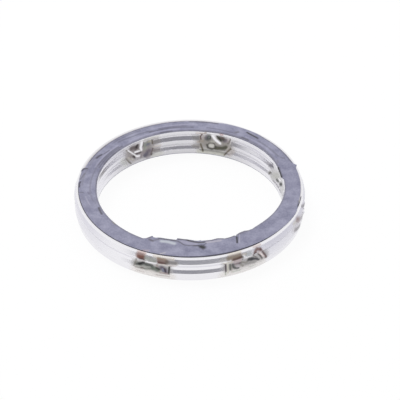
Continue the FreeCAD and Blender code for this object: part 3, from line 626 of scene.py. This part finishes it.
# Seams, tears, gouges and smears on the upper face, as strokes, with a painted highlight and a
# painted shadow among them. Each line is in (degrees, radius in mm).
FACE_MARKS = [
    ("#6E6C78", 0.6, 0.13, [(-180, 17.5), (-165, 17.62), (-140, 17.68), (-119, 17.65)]),
    ("#706E78", 0.55, 0.12, [
        (-58, 16.8), (-50, 17.0), (-41, 17.15), (-33, 17.35), (-11, 17.78), (8, 17.95)]),
    ("#66646E", 0.65, 0.16, [
        (20, 17.75), (28.6, 18.0), (38, 18.18), (56, 18.2), (66, 17.98), (90, 17.68)]),
    ("#625F6A", 0.65, 0.14, [(90, 17.68), (115, 17.66), (150, 17.58), (165, 17.55), (180, 17.45)]),
    ("#4A4854", 0.7, 0.17, [(101, 17.78), (108, 17.78)]),
    ("#4A4854", 0.6, 0.15, [(138, 17.62), (156, 17.62)]),
    ("#504E5C", 0.7, 0.14, [(88, 18.65), (100, 18.7), (114, 18.65)]),
    ("#5A5866", 0.6, 0.13, [(92, 19.05), (108, 19.0)]),
    ("#A8A6BC", 0.5, 0.14, [(86, 19.5), (112, 19.45)]),
    ("#A8A6BC", 0.5, 0.14, [(96, 18.2), (128, 18.25)]),
    ("#55535F", 0.6, 0.12, [(112, 18.9), (126, 19.1), (134, 19.4)]),
    ("#A8A6BC", 0.45, 0.13, [(136, 18.75), (160, 18.8)]),
    ("#4C4A58", 0.7, 0.15, [(135, 18.0), (150, 18.05), (160, 18.0)]),
    ("#4C4A58", 0.7, 0.14, [(137, 18.35), (158, 18.45)]),
    ("#5E5C6A", 0.6, 0.12, [(118, 19.9), (136, 19.95)]),
    ("#5E5C6A", 0.6, 0.12, [(62, 18.7), (80, 18.75)]),
    ("#64626E", 0.55, 0.13, [(30, 19.2), (48, 19.3)]),
    ("#A8A6BC", 0.45, 0.13, [(32, 18.75), (56, 18.85)]),
    ("#6E6C7A", 0.55, 0.12, [(158, 18.45), (180, 18.6)]),
    ("#6E6C7A", 0.5, 0.12, [(-180, 18.6), (-168, 18.5)]),
    ("#55535F", 0.65, 0.14, [(93, 20.45), (120, 20.4), (142, 20.42)]),
    ("#7A7886", 0.5, 0.12, [(150, 19.95), (178, 20.1)]),
    ("#5A5863", 0.65, 0.14, [(22, 20.64), (36, 20.66), (50, 20.74)]),
    ("#55535E", 0.7, 0.18, [(75, 20.42), (90, 20.35)]),
    ("#45424E", 0.85, 0.2, [(-160.2, 17.95), (-157, 18.05), (-154, 18.15)]),
    ("#5E5C6A", 0.8, 0.1, [(-176, 20.6), (-175.6, 19.9)]),
    ("#66647A", 0.7, 0.18, [(-175.6, 19.0), (-174.2, 18.85)]),
    ("#7A788A", 0.5, 0.14, [(-168.5, 18.4), (-164, 18.1)]),
    ("#7A788A", 0.5, 0.1, [(-170.5, 18.0), (-166, 17.78)]),
    ("#7E7C8E", 0.5, 0.1, [(-173, 20.3), (-167, 20.2)]),
    ("#B0AEC0", 0.5, 0.1, [(-172, 19.6), (-165, 19.3)]),
    ("#8A8578", 0.6, 0.16, [(-144, 17.62), (-141.5, 17.65)]),
    ("#6E6878", 0.85, 0.2, [(-117.3, 17.1), (-115.6, 16.5)]),
    ("#55505A", 0.85, 0.22, [(-115.3, 17.3), (-112.8, 17.4)]),
    ("#66636D", 0.75, 0.2, [(-112.0, 17.0), (-110.2, 16.6)]),
    ("#BCC1C9", 0.88, 0.36, [(-107.8, 16.95), (-104, 16.8), (-99.5, 17.05)]),
    ("#434142", 0.92, 0.13, [(-110.4, 16.35), (-108, 16.2), (-103, 16.13), (-98.2, 16.2)]),
    ("#A09CB0", 0.6, 0.3, [(-95, 16.3), (-91, 16.6), (-86, 17.0)]),
    ("#4A464B", 0.92, 0.16, [(-97.8, 15.68), (-94, 15.68), (-91, 15.82)]),
    ("#353131", 0.95, 0.18, [(-91, 15.9), (-87, 16.33), (-84, 16.58), (-80.5, 16.6)]),
    ("#4E4B57", 0.88, 0.12, [
        (-98, 16.23), (-95.7, 16.6), (-94.3, 17.0), (-92.9, 17.33), (-90, 17.43), (-84.5, 17.5)]),
    ("#B9B4BE", 0.65, 0.22, [(-79, 16.8), (-74, 16.85), (-70, 16.9)]),
    ("#565255", 0.88, 0.1, [
        (-80, 16.4), (-75, 16.38), (-71.5, 16.25), (-68, 16.6), (-63, 16.8), (-60, 16.75)]),
    ("#605C62", 0.8, 0.1, [(-58.5, 16.7), (-55, 16.55), (-52, 16.65), (-50, 16.95)]),
    ("#2E2B38", 0.85, 0.14, [(-87.5, 17.5), (-84, 17.55)]),
    ("#3F3C47", 0.75, 0.11, [(-81.5, 17.5), (-79.5, 17.0)]),
    ("#3A3844", 0.6, 0.07, [(-82.3, 18.9), (-82.3, 18.4)]),
    ("#0F0D15", 0.99, 0.5, [(-81.9, 18.1), (-83.0, 17.85)]),
    # Painted highlight: the lit lip beside the black tick that follows.
    ("#B8B6C5", 0.6, 0.08, [(-61.0, 18.9), (-56.8, 16.9)]),
    ("#0F0E12", 0.98, 0.16, [(-62.0, 18.75), (-60.8, 18.0), (-59.5, 17.2)]),
    ("#8B93A3", 0.5, 0.07, [(-26, 20.9), (-20, 19.8)]),
    ("#242426", 0.95, 0.13, [(-15.2, 20.92), (-13, 20.85), (-11.3, 20.75)]),
    ("#C8C4C6", 0.6, 0.16, [(-105.0, 20.5), (-103, 20.1)]),
    ("#B49A9A", 0.5, 0.18, [(-114.5, 20.7), (-112, 20.4)]),
    # Painted shadow: black standing for the shade in the gap between the face's inner edge and the
    # bore laps.
    ("#0D0C0F", 0.98, 0.2, [(10.8, 17.5), (14.3, 17.48), (20.2, 17.68)]),
    ("#6C6A7C", 0.7, 0.2, [(27, 19.95), (28.2, 19.5)]),
    ("#6E6C78", 0.6, 0.2, [(25, 18.3), (27, 18.5)]),
    ("#B2B0C0", 0.5, 0.06, [(52, 20.35), (57, 20.4)]),
    ("#26252F", 0.95, 0.17, [(50, 19.88), (54, 19.98), (57.5, 20.15)]),
    ("#55535F", 0.6, 0.07, [(51, 19.75), (56, 19.9)]),
    ("#62606C", 0.8, 0.22, [(61.8, 19.4), (63.2, 19.1)]),
    ("#55535E", 0.8, 0.18, [(53, 18.3), (57.5, 18.35)]),
    ("#7E7C8E", 0.5, 0.05, [(137, 19.9), (141, 18.8), (143, 18.3)]),
    ("#5A5868", 0.8, 0.12, [(143, 18.95), (147.5, 19.15)]),
    ("#3E3C4C", 0.92, 0.2, [(148.5, 19.4), (150.5, 19.6), (152.5, 19.67)]),
    ("#565460", 0.8, 0.14, [(141, 20.42), (157, 20.45)]),
    ("#64626F", 0.6, 0.1, [(171, 17.6), (178, 17.42)]),
    ("#3A3846", 0.92, 0.17, [(163.2, 20.1), (163.9, 20.75), (165.4, 20.88)]),
    ("#66646F", 0.7, 0.17, [(167.5, 20.1), (170, 20.3), (173, 20.6)]),
    ("#343240", 0.92, 0.16, [(175, 20.5), (177, 20.65), (179.5, 20.6)]),
]


def edge_at(angle, edge):
    """The radius of an edge at an angle, from its list of (degrees, radius)."""
    for (start, near), (end, far) in zip(edge, edge[1:]):
        if start <= angle <= end:
            return near + (far - near) * (angle - start) / (end - start)


def unrolled_line(line):
    """A line of (degrees, radius) with its angles made lengths round the ring, mm."""
    return [(math.radians(angle) * MARK_RADIUS, radius) for angle, radius in line]


filler = bmesh.new()
inner = BORE + BORE_LAPS * GAUGE
outer = RIM - RIM_LAPS * GAUGE
hidden_rows = rows_up(False)
section = [(BORE, foot - FACE), (BORE, foot)]
section += [(inner + ridge_at(z), z) for z in hidden_rows]
section += [(BORE, top)]
FACE_WIDE = FACE_RIM - BORE
section += [(BORE + FACE_WIDE * band / FACE_BANDS, top + FACE) for band in range(FACE_BANDS + 1)]
section += [(FACE_RIM, top)]
section += [(outer + ridge_at(z), z) for z in hidden_rows[::-1]]
section += [(FACE_RIM, foot), (FACE_RIM, foot - FACE)]
closed_outline(filler, section)
spin_sectors(filler, math.tau, FACE_SECTORS, FACE_STEPS // FACE_SECTORS)
bmesh.ops.recalc_face_normals(filler, faces=filler.faces)

# A groove runs between the upper face's rim and the bare laps. Its edge is painted dark
# along the left and the front, as painted shade, and painted pale from the right round the
# back, as a painted highlight.
GROOVE_PAINTED_SHADE = Vector(colour("#3C3A44")) * 0.9
GROOVE_PAINTED_HIGHLIGHT = Vector(colour("#CFCBCB")) * 0.9
DARK_TO, PALE_FROM, PALE_TO = -45, -12, 165     # degrees

mark_layer = filler.verts.layers.float_color.new("marks")
face_marks = [(code, cover, half, unrolled_line(line)) for code, cover, half, line in FACE_MARKS]
for vert in filler.verts:
    vert[mark_layer] = (0, 0, 0, 0)
    if vert.co.z < top - MERGE:
        continue
    angle = angle_of(vert.co)
    radius = vert.co.xy.length
    across = (radius - BORE) / FACE_WIDE
    on_face = vert.co.z > top + FACE / 2
    if on_face or across < MERGE or abs(across - 1) < MERGE:
        near, far = edge_at(angle, INNER_EDGE), edge_at(angle, OUTER_EDGE)
        ragged = RAGGED * noise.noise(Vector((angle * 1.3, across * 3, 5.0)))
        ragged *= 1 - ramp(min(across, 1 - across), 0.0, 0.15)
        placed = near + (far - near) * across + ragged
        vert.co.xy *= placed / radius
        radius = placed
    if on_face:
        wave = noise.noise(Vector((vert.co.x / WAVE_LONG, vert.co.y / WAVE_LONG, 0.0)))
        grain = noise.noise(Vector((vert.co.x / GRAIN_LONG, vert.co.y / GRAIN_LONG, 2.0)))
        vert.co.z += WAVE_HIGH * wave + GRAIN_HIGH * grain - DROOP * ramp(across, 0.92, 1.0)
        lay_strokes(vert, mark_layer, math.radians(angle) * MARK_RADIUS, radius, face_marks)
        darkness = vert[mark_layer][3] - 4 * vert[mark_layer][1]
        vert.co.z -= GOUGE * ramp(darkness, 0.0, 1.0)
    # Painted shade along the left and front of the groove, and a painted highlight from the right
    # round the back.
    elif across > 0.99 and (angle < DARK_TO or angle > PALE_TO):
        vert[mark_layer] = GROOVE_PAINTED_SHADE
    elif across > 0.99 and angle > PALE_FROM:
        vert[mark_layer] = GROOVE_PAINTED_HIGHLIGHT

# Pressed graphite: soft grey flakes burnished by the press, with a faint sheen
# and a lavender cast. Its marks attribute paints its seams and gouges darker, holds
# a painted highlight and a painted shadow on the face, and lays painted shade and a
# painted highlight along the groove at its rim.
graphite = bpy.data.materials.new("pressed_graphite")
graphite.use_nodes = True
tree = graphite.node_tree
shader = tree.nodes["Principled BSDF"]
place = add_node(tree, "ShaderNodeTexCoord")
FLAKE = 0.3 * MM            # width of a flake
CLOUD = 2.2 * MM            # and of a patch pressed more or less smooth
flakes = add_node(tree, "ShaderNodeTexNoise",
                  {"Vector": place.outputs["Object"], "Scale": 1 / FLAKE, "Detail": 4.0})
clouds = add_node(tree, "ShaderNodeTexNoise",
                  {"Vector": place.outputs["Object"], "Scale": 1 / CLOUD, "Detail": 2.0})
blend = add_node(tree, "ShaderNodeMath",
                 {0: flakes.outputs["Fac"], 1: 0.6, 2: clouds.outputs["Fac"]},
                 operation="MULTIPLY_ADD")
shade = add_node(tree, "ShaderNodeMapRange",
                 {"Value": blend.outputs[0], "From Min": 0.55, "From Max": 1.05})
greys = add_node(tree, "ShaderNodeMixRGB",
                 {"Fac": shade.outputs[0], "Color1": colour("#73738C"),
                  "Color2": colour("#9898AE")})
mark = add_node(tree, "ShaderNodeAttribute", attribute_name="marks")
unmarked = add_node(tree, "ShaderNodeMath", {0: 1.0, 1: mark.outputs["Alpha"]},
                    operation="SUBTRACT")
marked = add_node(tree, "ShaderNodeVectorMath",
                  {0: greys.outputs["Color"], 1: unmarked.outputs[0],
                   2: mark.outputs["Color"]}, operation="MULTIPLY_ADD")
FLAKE_THICK = 0.05 * MM
rise = add_node(tree, "ShaderNodeBump",
                {"Height": flakes.outputs["Fac"], "Strength": 0.5, "Distance": FLAKE_THICK})
tree.links.new(marked.outputs[0], shader.inputs["Base Color"])
tree.links.new(rise.outputs[0], shader.inputs["Normal"])
shader.inputs["Roughness"].default_value = 0.5

pressed_graphite = finish_piece("pressed_graphite", filler, graphite)
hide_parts("graphite_filler")

# The table
# A matt white table top, wide enough to fill every view. It shows as white, also
# in the steel, and still takes the ring's soft shadow.

table_white = bpy.data.materials.new("white_table_top")
table_white.use_nodes = True
tree = table_white.node_tree
matt = tree.nodes["Principled BSDF"]
matt.inputs["Base Color"].default_value = colour("#FAFAFB")
matt.inputs["Roughness"].default_value = 0.9
matt.inputs["Specular IOR Level"].default_value = 0.0
rays = add_node(tree, "ShaderNodeLightPath")
seen = add_node(tree, "ShaderNodeMath",
                {0: rays.outputs["Is Camera Ray"], 1: rays.outputs["Is Glossy Ray"]},
                operation="MAXIMUM")
shown = add_node(tree, "ShaderNodeMath",
                 {0: seen.outputs[0], 1: rays.outputs["Is Transmission Ray"]},
                 operation="MAXIMUM")
WHITE_SHARE = 0.92          # the rest is the real surface, which holds the shadow
share = add_node(tree, "ShaderNodeMath", {0: shown.outputs[0], 1: WHITE_SHARE},
                 operation="MULTIPLY")
plain_white = add_node(tree, "ShaderNodeEmission", {"Color": colour("#FFFFFF"), "Strength": 1.0})
mixed = add_node(tree, "ShaderNodeMixShader",
                 {0: share.outputs[0], 1: matt.outputs[0], 2: plain_white.outputs[0]})
tree.links.new(mixed.outputs[0], tree.nodes["Material Output"].inputs["Surface"])

TABLE_RADIUS = 3.0          # metres
table_mesh = bmesh.new()
bmesh.ops.create_circle(table_mesh, cap_ends=True, segments=96, radius=TABLE_RADIUS)
table_data = bpy.data.meshes.new("table_top")
table_mesh.to_mesh(table_data)
table_mesh.free()
table_data.materials.append(table_white)
table_top = bpy.data.objects.new("table_top", table_data)
bpy.context.scene.collection.objects.link(table_top)

# The light
# A white studio all round and overhead, with the darker side of the room behind the
# camera, up to some fifty degrees high: the steel mirrors it as the grey bands along
# its ridges. One large soft lamp hangs above the back left.

world = bpy.data.worlds.new("white_studio")
world.use_nodes = True
tree = world.node_tree
direction = add_node(tree, "ShaderNodeTexCoord")
axes = add_node(tree, "ShaderNodeSeparateXYZ", {0: direction.outputs["Generated"]})
DARK_SIDE = (-0.35, -0.65)  # a direction's Y where the dark side begins and is full
DARK_TOP = (0.85, 0.7)      # and its Z
behind = add_node(tree, "ShaderNodeMapRange",
                  {"Value": axes.outputs["Y"], "From Min": DARK_SIDE[0], "From Max": DARK_SIDE[1]})
below = add_node(tree, "ShaderNodeMapRange",
                 {"Value": axes.outputs["Z"], "From Min": DARK_TOP[0], "From Max": DARK_TOP[1]})
dark = add_node(tree, "ShaderNodeMath", {0: behind.outputs[0], 1: below.outputs[0]},
                operation="MULTIPLY")
room = add_node(tree, "ShaderNodeMixRGB",
                {"Fac": dark.outputs[0], "Color1": colour("#FFFFFF"),
                 "Color2": colour("#94949B")})
tree.links.new(room.outputs["Color"], tree.nodes["Background"].inputs["Color"])
tree.nodes["Background"].inputs["Strength"].default_value = 0.95
bpy.context.scene.world = world

lamp_data = bpy.data.lights.new("soft_box", "AREA")
lamp_data.shape = "DISK"
lamp_data.size = 0.5
lamp_data.energy = 3.0
lamp = bpy.data.objects.new("soft_box", lamp_data)
lamp.location = (-0.35, 0.35, 0.9)
lamp.rotation_euler = (Vector((0, 0, 0)) - lamp.location).to_track_quat("-Z", "Y").to_euler()
bpy.context.scene.collection.objects.link(lamp)

# The camera
# The photograph looks down on the ring at nearly 38 degrees through a long lens. The
# middle of the ring's upper face lies a little left of and above the middle.

ELEVATION = math.radians(37.93)
PIXELS = 400
PIXELS_PER_MM = 5.356
FACE_MIDDLE_PIXEL = (189.65, 187.65)
LENS = 600.0
SENSOR = 36.0

away = Vector((0, -math.cos(ELEVATION), math.sin(ELEVATION)))
right = Vector((1, 0, 0))
up = Vector((0, math.sin(ELEVATION), math.cos(ELEVATION)))
aim = Vector((0, 0, (top + FACE) * MM))
aim += right * (PIXELS / 2 - FACE_MIDDLE_PIXEL[0]) / PIXELS_PER_MM * MM
aim += up * (FACE_MIDDLE_PIXEL[1] - PIXELS / 2) / PIXELS_PER_MM * MM
distance = PIXELS / PIXELS_PER_MM * MM * LENS / SENSOR

camera_data = bpy.data.cameras.new("camera")
camera_data.lens = LENS
camera_data.sensor_width = SENSOR
camera_data.clip_start = 0.1
camera_data.clip_end = 20
camera = bpy.data.objects.new("camera", camera_data)
camera.location = aim + away * distance
camera.rotation_euler = away.to_track_quat("Z", "Y").to_euler()
bpy.context.scene.collection.objects.link(camera)
bpy.context.scene.camera = camera
bpy.context.scene.view_settings.view_transform = "Standard"
